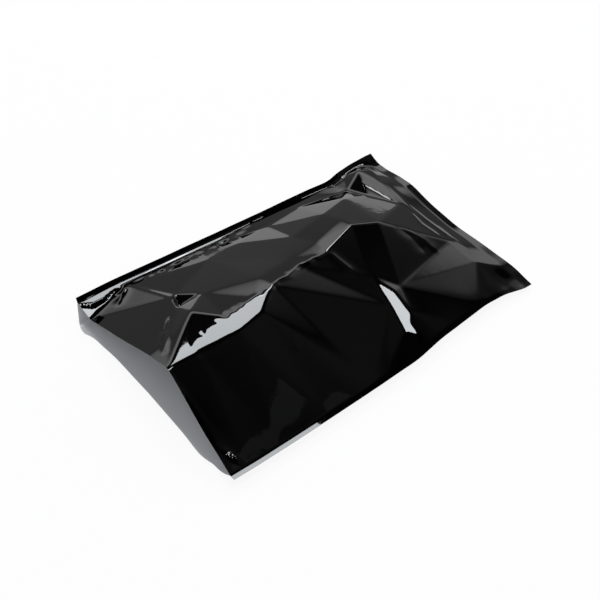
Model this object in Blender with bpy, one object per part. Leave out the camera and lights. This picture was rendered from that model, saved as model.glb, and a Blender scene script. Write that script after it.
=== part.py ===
"""Poly mailer bag: one pouch of heat-sealed film, lying on its lower film, puffed by air, mouth open.

Metres, +Z up. The mouth faces -X, the sealed bottom end faces +X, and the two side seals run along
X at the front (-Y) and the rear (+Y). The lower film rests on z = 0.

The upper film hangs between fold points joined by fold lines, as flat facets that are then rounded.
Both films meet in the seals, which are one fused strip on three sides of the pouch.
"""

import math

import bmesh
import bpy
import numpy as np
from mathutils import Vector
from mathutils.geometry import delaunay_2d_cdt

# Driving dimensions, in metres
POUCH_LENGTH = 0.344
POUCH_WIDTH = 0.2335
PUFF_HEIGHT = 0.058
FILM_THICKNESS = 0.00015
SEAL_WIDTH = 0.008
SEAL_HEIGHT = 0.010
MOUTH_RECESS = 0.005
RISE_REACH = 0.022
SHARP_FOLD_RADIUS = 0.0025
SOFT_FOLD_RADIUS = 0.009
SEAM_BLEND = 0.012
FILM_GAP = 0.0006

# Grid of the pouch: cells of the mesh, and finer cells that the folds are worked out in
CELLS_ALONG = 44
CELLS_ACROSS = 30
WORK_CELLS = 4

# Softness of the folds at the seams, and the angle from which a fold of the mesh stays sharp
SEAM_SOFTNESS = 0.3
SHARP_ANGLE = 40.0

# Least distance and least area in plan that the facets tell apart
SAME_PLACE = 1e-7
SLIVER_AREA = 1e-12

# Edge stations: place along the half length, outer edge across the half width, outer edge height
# over the seal height, and upward tilt of the seal strip in degrees
REAR_EDGE = (
    (-1.00, 0.990, 2.55, 75.0),
    (-0.78, 0.985, 2.60, 62.0),
    (-0.55, 0.985, 2.20, 56.0),
    (-0.22, 0.985, 1.70, 48.0),
    (0.12, 0.980, 1.25, 42.0),
    (0.46, 0.951, 1.20, 40.0),
    (0.66, 0.926, 1.25, 40.0),
    (0.73, 0.958, 1.12, 34.0),
    (0.82, 0.976, 1.08, 30.0),
    (1.00, 0.965, 1.30, 25.0),
)
FRONT_EDGE = (
    (-1.00, 1.005, 1.20, 3.0),
    (-0.90, 1.005, 0.95, 3.0),
    (-0.65, 1.006, 0.90, 3.0),
    (-0.35, 1.006, 0.90, 3.0),
    (-0.17, 1.006, 0.90, 2.0),
    (-0.06, 1.002, 0.92, -14.0),
    (0.17, 0.995, 1.00, -18.0),
    (0.33, 0.960, 1.00, -14.0),
    (0.50, 0.940, 1.00, -12.0),
    (0.70, 0.921, 0.95, -12.0),
    (0.83, 0.931, 0.80, -10.0),
    (0.92, 0.956, 0.60, -8.0),
    (1.00, 0.965, 0.35, -6.0),
)
# Bottom end: place across the half width, height of the outer edge over the seal height
BOTTOM_EDGE = (
    (-0.99, 0.25),
    (-0.79, 0.70),
    (-0.45, 0.60),
    (-0.10, 0.32),
    (0.20, 0.60),
    (0.45, 1.30),
    (0.59, 1.20),
    (0.77, 0.85),
    (0.87, 0.85),
    (0.99, 1.35),
)
BOTTOM_TILT = -12.0
# Lips of the mouth: place across the half width, share of MOUTH_RECESS that the lip draws back
UPPER_LIP = ((-1.0, 0.0), (-0.60, 0.45), (-0.22, 0.90), (0.02, 0.80), (0.35, 0.50), (0.84, 0.20), (1.0, 0.0))
LOWER_LIP = ((-1.0, 0.0), (1.0, 0.0))
# Rise of the lower film to the rear seam: place along the half length, reach over RISE_REACH
REAR_RISE = ((-1.0, 0.36), (-0.70, 0.55), (-0.35, 0.91), (1.0, 1.0))

# Fold points of the upper film: place along the half length, across the half width, height over
# the puff height, and softness of the fold there, from 0, sharp, to 1, round
FOLD_POINTS = {
    "lip_low": (-0.994, 0.822, 0.241, 0.1),
    "lip_middle": (-0.985, 0.300, 0.638, 0.1),
    "lip_shoulder": (-0.977, 0.017, 0.862, 0.0),
    "apex": (-0.974, -0.214, 1.000, 0.0),
    "crown_low_1": (-0.797, -0.231, 0.993, 0.0),
    "crown_low_2": (-0.564, -0.244, 0.993, 0.1),
    "crown_low_3": (-0.407, -0.206, 0.990, 0.2),
    "crown_end": (-0.256, -0.034, 0.983, 0.1),
    "crown_high_1": (-0.837, -0.111, 0.990, 0.0),
    "crown_high_2": (-0.686, -0.069, 0.990, 0.0),
    "crown_high_3": (-0.564, -0.034, 0.990, 0.0),
    "crown_high_4": (-0.366, -0.051, 0.986, 0.0),
    "ridge_1": (-0.047, 0.034, 0.879, 0.0),
    "ridge_2": (0.145, 0.060, 0.802, 0.0),
    "ridge_3": (0.390, 0.176, 0.767, 0.0),
    "ridge_4": (0.535, 0.094, 0.690, 0.1),
    "back_1": (-0.267, 0.120, 0.914, 0.4),
    "back_2": (-0.047, 0.171, 0.819, 0.5),
    "back_3": (0.163, 0.223, 0.733, 0.5),
    "back_4": (0.384, 0.291, 0.716, 0.4),
    "crease_middle": (-0.660, 0.133, 0.922, 0.0),
    "pinch": (-0.500, 0.360, 0.629, 0.0),
    "notch_rear": (-0.605, 0.522, 0.500, 0.0),
    "star": (-0.727, 0.908, 0.362, 0.0),
    "shelf_1": (-0.297, 0.702, 0.397, 0.1),
    "shelf_2": (-0.093, 0.737, 0.345, 0.2),
    "shelf_3": (0.116, 0.754, 0.293, 0.2),
    "shelf_4": (0.337, 0.754, 0.293, 0.2),
    "rear_pinch": (0.640, 0.719, 0.241, 0.0),
    "rear_crease": (0.692, 0.445, 0.431, 0.1),
    "leaf_tip": (0.262, -0.313, 0.517, 0.0),
    "leaf_left": (0.240, -0.525, 0.371, 0.0),
    "leaf_base": (0.203, -0.762, 0.210, 0.1),
    "leaf_right_1": (0.315, -0.469, 0.448, 0.0),
    "leaf_right_2": (0.302, -0.660, 0.326, 0.1),
    "leaf_right_3": (0.274, -0.726, 0.269, 0.1),
    "quad_low": (0.362, -0.443, 0.421, 0.2),
    "end_1": (0.901, 0.797, 0.207, 0.0),
    "end_2": (0.860, 0.617, 0.241, 0.0),
    "end_3": (0.814, 0.283, 0.310, 0.0),
    "end_4": (0.837, -0.034, 0.345, 0.0),
    "end_5": (0.831, -0.257, 0.276, 0.0),
    "end_6": (0.826, -0.505, 0.172, 0.1),
    "edge_top": (-0.645, 0.454, 0.681, 0.0),
    "edge_notch": (-0.677, 0.308, 0.767, 0.0),
    "hem_1": (-0.523, 0.887, 0.353, 0.0),
    "hem_2": (-0.291, 0.874, 0.328, 0.0),
    "hem_3": (-0.047, 0.857, 0.267, 0.0),
}
FOLD_LINES = (
    ("lip_low", "lip_middle", "lip_shoulder", "apex"),
    ("apex", "crown_low_1", "crown_low_2", "crown_low_3", "crown_end"),
    ("apex", "crown_high_1", "crown_high_2", "crown_high_3", "crown_high_4", "crown_end"),
    ("crown_end", "ridge_1", "ridge_2", "ridge_3", "ridge_4"),
    ("crown_high_4", "back_1", "back_2", "back_3", "back_4", "ridge_4"),
    ("apex", "crease_middle", "pinch"),
    ("apex", "edge_notch", "edge_top", "star"),
    ("star", "notch_rear", "pinch", "notch_rear"),
    ("edge_notch", "pinch"),
    ("star", "shelf_1", "pinch"),
    ("star", "hem_1", "hem_2", "hem_3"),
    ("shelf_1", "shelf_2", "shelf_3", "shelf_4", "rear_pinch", "rear_crease"),
    ("ridge_3", "leaf_tip", "leaf_left", "leaf_base"),
    ("leaf_tip", "leaf_right_1", "leaf_right_2", "leaf_right_3", "leaf_base"),
    ("leaf_tip", "quad_low", "ridge_4"),
    ("end_1", "end_2", "end_3", "end_4", "end_5", "end_6"),
)

BLACK_FILM = ("black_film", (0.006, 0.006, 0.007, 1.0), 0.12)
SILVER_FILM = ("silver_film", (0.42, 0.43, 0.44, 1.0), 0.38)


def clear_scene():
    """Remove what the startup scene holds."""
    for item in list(bpy.data.objects):
        bpy.data.objects.remove(item)


def through(stations, column, places):
    """A smooth curve through one column of the stations, read at the given places."""
    table = np.array(stations)
    at, value = table[:, 0], table[:, column]
    slope = np.gradient(value, at)
    cell = np.clip(np.searchsorted(at, places) - 1, 0, len(at) - 2)
    width = at[cell + 1] - at[cell]
    share = np.clip((places - at[cell]) / width, 0.0, 1.0)
    first = value[cell] + slope[cell] * width * share * (1.0 - share) ** 2
    second = value[cell + 1] - slope[cell + 1] * width * share**2 * (1.0 - share)
    blend = share * share * (3.0 - 2.0 * share)
    return first + (second - first) * blend


def seal_strip(stations, along, side):
    """Outer edge of a side seal, and the step from its inner edge to its outer edge, at each place along."""
    place = along / (POUCH_LENGTH / 2)
    across = side * through(stations, 1, place) * POUCH_WIDTH / 2
    height = through(stations, 2, place) * SEAL_HEIGHT
    tilt = np.radians(through(stations, 3, place))
    outer = np.stack([along, across, height], axis=-1)
    step = SEAL_WIDTH * np.stack([np.zeros_like(tilt), side * np.cos(tilt), np.sin(tilt)], axis=-1)
    return outer, step


def plan_grid(lip):
    """Plan places of one film between the seals, as arrays of x and y."""
    share = np.linspace(0.0, 1.0, CELLS_ALONG * WORK_CELLS + 1)[:, None]
    place = np.linspace(-1.0, 1.0, CELLS_ACROSS * WORK_CELLS + 1)[None, :]
    mouth = -POUCH_LENGTH / 2 + MOUTH_RECESS * through(lip, 1, place)
    bottom = POUCH_LENGTH / 2 - SEAL_WIDTH * math.cos(math.radians(BOTTOM_TILT))
    x = mouth + share * (bottom - mouth)
    front, front_step = seal_strip(FRONT_EDGE, x, -1.0)
    rear, rear_step = seal_strip(REAR_EDGE, x, 1.0)
    low = (front - front_step)[..., 1]
    high = (rear - rear_step)[..., 1]
    y = low + (place + 1.0) / 2.0 * (high - low)
    return x, y


def seam_heights(x, y):
    """Heights of the front, rear and bottom seams where they bound the plan grid."""
    front, front_step = seal_strip(FRONT_EDGE, x[:, 0], -1.0)
    rear, rear_step = seal_strip(REAR_EDGE, x[:, -1], 1.0)
    edge = through(BOTTOM_EDGE, 1, y[-1] / (POUCH_WIDTH / 2)) * SEAL_HEIGHT
    bottom = edge - SEAL_WIDTH * math.sin(math.radians(BOTTOM_TILT))
    front_height = (front - front_step)[:, 2]
    rear_height = (rear - rear_step)[:, 2]
    share = np.linspace(0.0, 1.0, len(bottom))
    ends = (1.0 - share) * (front_height[-1] - bottom[0]) + share * (rear_height[-1] - bottom[-1])
    return front_height, rear_height, bottom + ends


def seam_distances(x, y):
    """Distance in plan of each grid place from the front, rear and bottom seams."""
    return y - y[:, :1], y[:, -1:] - y, x[-1:, :] - x


def facets(x, y, seams):
    """The flat facets of the upper film: corners, triangles and softness of each corner."""
    front, rear, bottom = seams
    half = np.array([POUCH_LENGTH / 2, POUCH_WIDTH / 2, PUFF_HEIGHT, 1.0])
    names = list(FOLD_POINTS)
    corners = [np.array(FOLD_POINTS[name]) * half for name in names]
    lines = [pair for line in FOLD_LINES for pair in zip(line, line[1:])]
    edges = [(names.index(a), names.index(b)) for a, b in lines]
    rows, columns = range(0, len(x), 2 * WORK_CELLS), range(WORK_CELLS, y.shape[1] - 1, WORK_CELLS)
    rim = [(x[i, 0], y[i, 0], front[i]) for i in rows]
    rim += [(x[i, -1], y[i, -1], rear[i]) for i in rows]
    rim += [(x[-1, j], y[-1, j], bottom[j]) for j in columns]
    corners += [np.array([*point, SEAM_SOFTNESS]) for point in rim]
    flat = [Vector((float(c[0]), float(c[1]))) for c in corners]
    points, _, faces, origin, _, _ = delaunay_2d_cdt(flat, edges, [], 0, SAME_PLACE)
    kept = [source[0] for source in origin]
    table = np.array([corners[index] for index in kept])
    return table, np.array([list(face) for face in faces])


def hang(x, y, table, triangles):
    """Height and softness of the faceted film at each place, read from the triangle that holds it."""
    height = np.zeros(x.shape)
    softness = np.zeros(x.shape)
    best = np.full(x.shape, -np.inf)
    for triangle in triangles:
        a, b, c = table[triangle]
        area = (b[0] - a[0]) * (c[1] - a[1]) - (c[0] - a[0]) * (b[1] - a[1])
        if abs(area) < SLIVER_AREA:
            continue
        at_b = ((x - a[0]) * (c[1] - a[1]) - (c[0] - a[0]) * (y - a[1])) / area
        at_c = ((b[0] - a[0]) * (y - a[1]) - (x - a[0]) * (b[1] - a[1])) / area
        inside = np.minimum(np.minimum(at_b, at_c), 1.0 - at_b - at_c)
        better = inside > best
        best = np.where(better, inside, best)
        value = a[2] + at_b * (b[2] - a[2]) + at_c * (c[2] - a[2])
        soft = a[3] + at_b * (b[3] - a[3]) + at_c * (c[3] - a[3])
        height = np.where(better, value, height)
        softness = np.where(better, soft, softness)
    return height, np.clip(softness, 0.0, 1.0)


def blurred(values, spread_along, spread_across):
    """The values rounded by a bell curve of the given spreads, in cells."""
    for axis, spread in ((0, spread_along), (1, spread_across)):
        reach = max(1, int(math.ceil(3.0 * spread)))
        bell = np.exp(-0.5 * (np.arange(-reach, reach + 1) / spread) ** 2)
        bell /= bell.sum()
        pad = [(reach, reach) if axis == each else (0, 0) for each in (0, 1)]
        padded = np.pad(values, pad, mode="reflect", reflect_type="odd")
        count = values.shape[axis]
        values = sum(
            weight * np.take(padded, np.arange(count) + k, axis=axis) for k, weight in enumerate(bell)
        )
    return values


def rounded(height, softness, cell_along, cell_across):
    """The faceted film with its folds rounded, sharp or soft by place."""
    sharp = blurred(height, SHARP_FOLD_RADIUS / cell_along, SHARP_FOLD_RADIUS / cell_across)
    soft = blurred(height, SOFT_FOLD_RADIUS / cell_along, SOFT_FOLD_RADIUS / cell_across)
    mask = blurred(softness, SHARP_FOLD_RADIUS / cell_along, SHARP_FOLD_RADIUS / cell_across)
    return sharp + (soft - sharp) * mask


def fade(distance, reach):
    """1 at the seam, falling smoothly to 0 at the given reach."""
    share = np.clip(1.0 - distance / reach, 0.0, 1.0)
    return share * share * (3.0 - 2.0 * share)


def lower_film(x, y, seams):
    """Height of the lower film's upper face: flat on the table, rising to the seams."""
    lift = np.zeros(x.shape)
    shapes = (seams[0][:, None], seams[1][:, None], seams[2][None, :])
    reaches = (1.0, through(REAR_RISE, 1, x / (POUCH_LENGTH / 2)), 1.0)
    for seam, distance, reach in zip(shapes, seam_distances(x, y), reaches):
        rise = np.clip(1.0 - distance / (RISE_REACH * reach), 0.0, 1.0) ** 2
        lift = np.maximum(lift, (seam - FILM_THICKNESS) * rise)
    return FILM_THICKNESS + lift


def upper_film(x, y, seams):
    """Height of the upper film's lower face, which meets the lower film at the seams."""
    height, softness = hang(x, y, *facets(x, y, seams))
    cell_along = POUCH_LENGTH / (x.shape[0] - 1)
    cell_across = POUCH_WIDTH / (x.shape[1] - 1)
    height = rounded(height, softness, cell_along, cell_across)
    front, rear, bottom = seam_distances(x, y)
    height = height + (seams[0] - height[:, 0])[:, None] * fade(front, SEAM_BLEND)
    height = height + (seams[1] - height[:, -1])[:, None] * fade(rear, SEAM_BLEND)
    height = height + (seams[2] - height[-1, :])[None, :] * fade(bottom, SEAM_BLEND)
    nearest = np.minimum(np.minimum(front, rear), bottom)
    gap = FILM_GAP * np.clip(nearest / SEAM_BLEND, 0.0, 1.0)
    return np.maximum(height, lower_film(x, y, seams) + gap)


def with_seals(grid):
    """The films' grid with the fused strips added on the front, the rear and the bottom end."""
    _, front_step = seal_strip(FRONT_EDGE, grid[:, 0, 0], -1.0)
    _, rear_step = seal_strip(REAR_EDGE, grid[:, -1, 0], 1.0)
    wide = np.concatenate([grid[:, :1] + front_step[:, None], grid, grid[:, -1:] + rear_step[:, None]], axis=1)
    tilt = math.radians(BOTTOM_TILT)
    step = SEAL_WIDTH * np.array([math.cos(tilt), 0.0, math.sin(tilt)])
    return np.concatenate([wide, wide[-1:] + step], axis=0)


def normals(grid):
    """Unit normals of a grid of points, facing up."""
    along, across = np.gradient(grid, axis=0), np.gradient(grid, axis=1)
    normal = np.cross(along, across)
    return normal / np.linalg.norm(normal, axis=-1, keepdims=True)


def film_faces():
    """Inner faces of the upper and lower film, with the seal strips, centred over the origin."""
    films = []
    for lip, film in ((UPPER_LIP, upper_film), (LOWER_LIP, lower_film)):
        x, y = plan_grid(lip)
        seams = seam_heights(x, y)
        height = film(x, y, seams)
        height[:, 0], height[:, -1], height[-1, :] = seams
        fine = np.stack([x, y, height], axis=-1)
        films.append(with_seals(fine[::WORK_CELLS, ::WORK_CELLS]))
    plan = films[0][..., :2].reshape(-1, 2)
    middle = np.array([*(plan.min(axis=0) + plan.max(axis=0)) / 2.0, 0.0])
    return [film - middle for film in films]


def add_sheet(mesh, grid):
    """Vertices of one face of a film, as rows of bmesh vertices."""
    return [[mesh.verts.new(point) for point in row] for row in grid]


def join_rows(mesh, first, second, material):
    """Quads between two rows of vertices, leaving out corners that the rows share."""
    for k in range(len(first) - 1):
        ring = [first[k], first[k + 1], second[k + 1], second[k]]
        corners = [v for n, v in enumerate(ring) if v not in ring[:n]]
        mesh.faces.new(corners).material_index = material


def pouch_mesh():
    """The pouch as one closed body: two outer faces, two inner faces, the cut edges and the lip."""
    upper, lower = film_faces()
    outer_upper = upper + FILM_THICKNESS * normals(upper)
    outer_lower = lower - FILM_THICKNESS * normals(lower)
    mesh = bmesh.new()
    top, bottom = add_sheet(mesh, outer_upper), add_sheet(mesh, outer_lower)
    inner_top = add_sheet(mesh, upper[:-1, 1:-1])
    inner_bottom = [
        [inner_top[i][j] if on_seam else mesh.verts.new(point) for j, point, on_seam in row]
        for i, row in enumerate(seam_marks(lower[:-1, 1:-1]))
    ]
    for sheet, material in ((top, 0), (bottom, 0), (inner_top, 1), (inner_bottom, 1)):
        for first, second in zip(sheet, sheet[1:]):
            join_rows(mesh, first, second, material)
    columns = [[row[0] for row in sheet] for sheet in (top, bottom)]
    join_rows(mesh, columns[0], columns[1], 0)
    columns = [[row[-1] for row in sheet] for sheet in (top, bottom)]
    join_rows(mesh, columns[0], columns[1], 0)
    join_rows(mesh, top[-1], bottom[-1], 0)
    join_rows(mesh, top[0][1:-1], inner_top[0], 0)
    join_rows(mesh, bottom[0][1:-1], inner_bottom[0], 0)
    for end in (0, -1):
        outer = (top[0][end], bottom[0][end])
        inner = (bottom[0][1 if end == 0 else -2], inner_top[0][end], top[0][1 if end == 0 else -2])
        mesh.faces.new([*outer, *inner])
    bmesh.ops.recalc_face_normals(mesh, faces=mesh.faces)
    return mesh


def seam_marks(grid):
    """Each point of the lower inner face with its column and whether it lies on a seam."""
    last_row, last_column = len(grid) - 1, grid.shape[1] - 1
    for i, row in enumerate(grid):
        yield [(j, point, i == last_row or j in (0, last_column)) for j, point in enumerate(row)]


def film_material(name, colour, roughness):
    """One face of the film."""
    material = bpy.data.materials.new(name)
    material.use_nodes = True
    shader = material.node_tree.nodes["Principled BSDF"]
    shader.inputs["Base Color"].default_value = colour
    shader.inputs["Roughness"].default_value = roughness
    material.diffuse_color = colour
    return material


def film_pouch(collection):
    """The whole bag."""
    data = bpy.data.meshes.new("film_pouch")
    mesh = pouch_mesh()
    mesh.to_mesh(data)
    mesh.free()
    data.shade_smooth()
    data.set_sharp_from_angle(angle=math.radians(SHARP_ANGLE))
    for finish in (BLACK_FILM, SILVER_FILM):
        data.materials.append(film_material(*finish))
    pouch = bpy.data.objects.new("film_pouch", data)
    collection.objects.link(pouch)
    return pouch


def main():
    clear_scene()
    bag = bpy.data.collections.new("poly_mailer_bag")
    bpy.context.scene.collection.children.link(bag)
    film_pouch(bag)


main()
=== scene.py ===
"""Looks of an open poly mailer bag: glossy black film outside, satin silver-grey film inside.

The bag lies on its lower film with its mouth at -X, puffed by air. The upper film hangs between
fold points that are joined by fold lines; its facets are rounded, then creased. Shapes are worked
out in millimetres, in the bag's own plan, and are set to the box of the CAD model at the end.
"""

import logging
import math
from dataclasses import dataclass
from enum import Enum
from typing import NamedTuple, Sequence

import bpy
import numpy as np
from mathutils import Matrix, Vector
from mathutils.geometry import delaunay_2d_cdt


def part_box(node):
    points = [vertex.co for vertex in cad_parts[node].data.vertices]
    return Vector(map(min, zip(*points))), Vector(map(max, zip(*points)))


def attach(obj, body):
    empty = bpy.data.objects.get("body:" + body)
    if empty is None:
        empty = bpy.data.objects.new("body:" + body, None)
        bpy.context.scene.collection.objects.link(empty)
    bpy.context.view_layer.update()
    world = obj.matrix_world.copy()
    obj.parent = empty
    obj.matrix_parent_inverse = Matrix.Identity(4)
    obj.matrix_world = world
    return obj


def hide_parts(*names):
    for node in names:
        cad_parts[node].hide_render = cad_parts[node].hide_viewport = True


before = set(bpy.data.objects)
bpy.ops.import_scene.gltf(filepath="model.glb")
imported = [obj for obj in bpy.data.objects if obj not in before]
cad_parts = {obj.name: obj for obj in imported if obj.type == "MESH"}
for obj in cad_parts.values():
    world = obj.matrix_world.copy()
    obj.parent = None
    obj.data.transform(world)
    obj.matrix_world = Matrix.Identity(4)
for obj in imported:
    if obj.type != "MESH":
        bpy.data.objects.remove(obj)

LOG = logging.getLogger("poly_mailer_bag")
CAD_NODE = "film_pouch"
MILLIMETRE = 0.001

# Least plan area of a facet that counts, and distance under which two fold points are one
TINY_AREA = 1e-6
JOIN_DISTANCE = 1e-6
# Reach of a bell curve, in spreads, and a spread in cells that leaves a map as it is
BELL_REACH = 3.0
NO_SPREAD = 0.01


class Side(Enum):
    """The two faces of the film."""

    OUTSIDE = 0
    INSIDE = 1


@dataclass(frozen=True)
class BagSizes:
    """Sizes that both films share, in millimetres, radians and grid cells.

    Args:
        half_length: Half of the bag's length.
        half_width: Half of the width over which the lips are given.
        front_seal: Width of the fused strip along the front.
        rear_seal: Width of the fused strip along the rear.
        bottom_seal: Width of the fused strip across the bottom end.
        bottom_tilt: Upward tilt of the bottom strip.
        film: Thickness of the film.
        cells_along: Cells of a film from the mouth to the bottom seam.
        cells_across: Cells of a film from seam to seam.
        strip_cells: Cells across each fused strip.
    """

    half_length: float = 172.0
    half_width: float = 115.0
    front_seal: float = 5.5
    rear_seal: float = 5.0
    bottom_seal: float = 8.0
    bottom_tilt: float = math.radians(-5.0)
    film: float = 0.15
    cells_along: int = 240
    cells_across: int = 156
    strip_cells: int = 3

    def bottom_step(self) -> np.ndarray:
        """Step from the bottom seam to the strip's outer edge."""
        return self.bottom_seal * np.array([math.cos(self.bottom_tilt), 0.0, math.sin(self.bottom_tilt)])

    def cell(self) -> tuple[float, float]:
        """Size of one cell, along and across the bag."""
        return 2.0 * self.half_length / self.cells_along, 2.0 * self.half_width / self.cells_across


class Station(NamedTuple):
    """One place along a side seal.

    Args:
        x: Place along the bag.
        outer: Distance of the seal's outer edge from the bag's middle line.
        height: Height of the outer edge over the table.
        tilt: Upward tilt of the seal strip, in degrees.
    """

    x: float
    outer: float
    height: float
    tilt: float


class Fold(NamedTuple):
    """One fold point of the upper film.

    Args:
        x: Place along the bag.
        y: Place across the bag.
        z: Height over the table.
        softness: Roundness of the fold there, from 0, sharp, to 1, round.
    """

    x: float
    y: float
    z: float
    softness: float


class Crease(NamedTuple):
    """A fine fold drawn over the hung film.

    Args:
        path: Plan points that it runs through.
        rise: Height of its crest, negative for a valley.
        near: Reach of its flank on the left of the path.
        far: Reach of its flank on the right of the path.
    """

    path: tuple[tuple[float, float], ...]
    rise: float
    near: float
    far: float


class Ragged(NamedTuple):
    """A jagged run of folds.

    Args:
        line: Names of the fold points that it runs through.
        reach: Distance from the folds at which the jags have died away.
        throw: Size of the jags, across the bag.
        spread: Length of the jags, along the bag.
    """

    line: tuple[str, ...]
    reach: float
    throw: float
    spread: float


@dataclass(frozen=True)
class Finish:
    """Look of one face of the film.

    Args:
        name: Name of the material.
        colour: Base colour.
        roughness: Roughness of the surface.
        metallic: Share of metal in the look.
        ior: Index of refraction.
        wave: Strength of the fine waves.
    """

    name: str
    colour: tuple[float, float, float, float]
    roughness: float
    metallic: float
    ior: float
    wave: float


@dataclass(frozen=True)
class Softbox:
    """A rectangular studio lamp that faces the bag.

    Args:
        name: Name of the lamp.
        direction: Way from the bag to the lamp.
        distance: Distance from the bag, in metres.
        width: Width of the lamp, in metres.
        height: Height of the lamp, in metres.
        radiance: Brightness of its face.
    """

    name: str
    direction: tuple[float, float, float]
    distance: float
    width: float
    height: float
    radiance: float


# Side seals, from the mouth to the bottom end
REAR_EDGE = (
    Station(-172.0, 115.6, 26.6, 75.0),
    Station(-134.0, 115.0, 25.6, 62.0),
    Station(-94.6, 115.0, 22.0, 56.0),
    Station(-38.0, 115.0, 17.0, 48.0),
    Station(21.0, 114.4, 12.5, 42.0),
    Station(79.0, 111.0, 12.0, 40.0),
    Station(113.5, 108.1, 12.5, 40.0),
    Station(125.6, 111.8, 11.2, 34.0),
    Station(141.0, 113.9, 10.8, 30.0),
    Station(172.0, 112.7, 13.0, 25.0),
)
FRONT_EDGE = (
    Station(-172.0, 117.3, 10.8, 3.0),
    Station(-154.8, 117.3, 9.7, 3.0),
    Station(-111.8, 117.5, 9.0, 3.0),
    Station(-92.0, 117.5, 9.0, 2.0),
    Station(-62.0, 117.4, 9.0, -1.5),
    Station(-34.0, 117.3, 9.1, -7.5),
    Station(-10.0, 117.0, 9.2, -9.0),
    Station(29.2, 116.2, 10.0, -9.0),
    Station(56.8, 112.1, 10.0, -9.0),
    Station(86.0, 109.8, 10.0, -10.0),
    Station(120.4, 107.5, 9.5, -12.0),
    Station(142.8, 108.7, 8.0, -10.0),
    Station(158.0, 111.6, 6.0, -8.0),
    Station(172.0, 112.7, 3.5, -6.0),
)
# Bottom end: place across the bag and height of the outer edge
BOTTOM_EDGE = (
    (-115.0, 2.5),
    (-92.0, 7.2),
    (-52.9, 6.9),
    (-11.5, 4.8),
    (23.0, 7.8),
    (52.9, 13.2),
    (69.0, 12.0),
    (89.7, 8.5),
    (101.0, 8.5),
    (115.0, 13.5),
)
# Mouth: place across the bag and how far the upper lip draws back
UPPER_LIP = (
    (-115.0, 0.0),
    (-69.0, 2.2),
    (-25.3, 4.5),
    (2.3, 4.0),
    (40.0, 2.5),
    (96.6, 1.0),
    (115.0, 0.0),
)
LOWER_LIP = (
    (-117.0, 0.0),
    (-101.0, 0.0),
    (-92.0, 0.0),
    (-83.0, -2.0),
    (-40.0, -1.0),
    (4.0, 0.0),
    (65.0, -1.0),
    (91.0, -4.0),
    (98.0, -6.5),
    (104.0, -6.0),
    (110.0, -4.0),
    (115.0, 0.0),
)
# Reach of the lower film's rise to the rear seam: place along the bag and reach
REAR_RISE = (
    (-172.0, 8.0),
    (-120.0, 12.0),
    (-60.0, 20.0),
    (172.0, 22.0),
)

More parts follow.
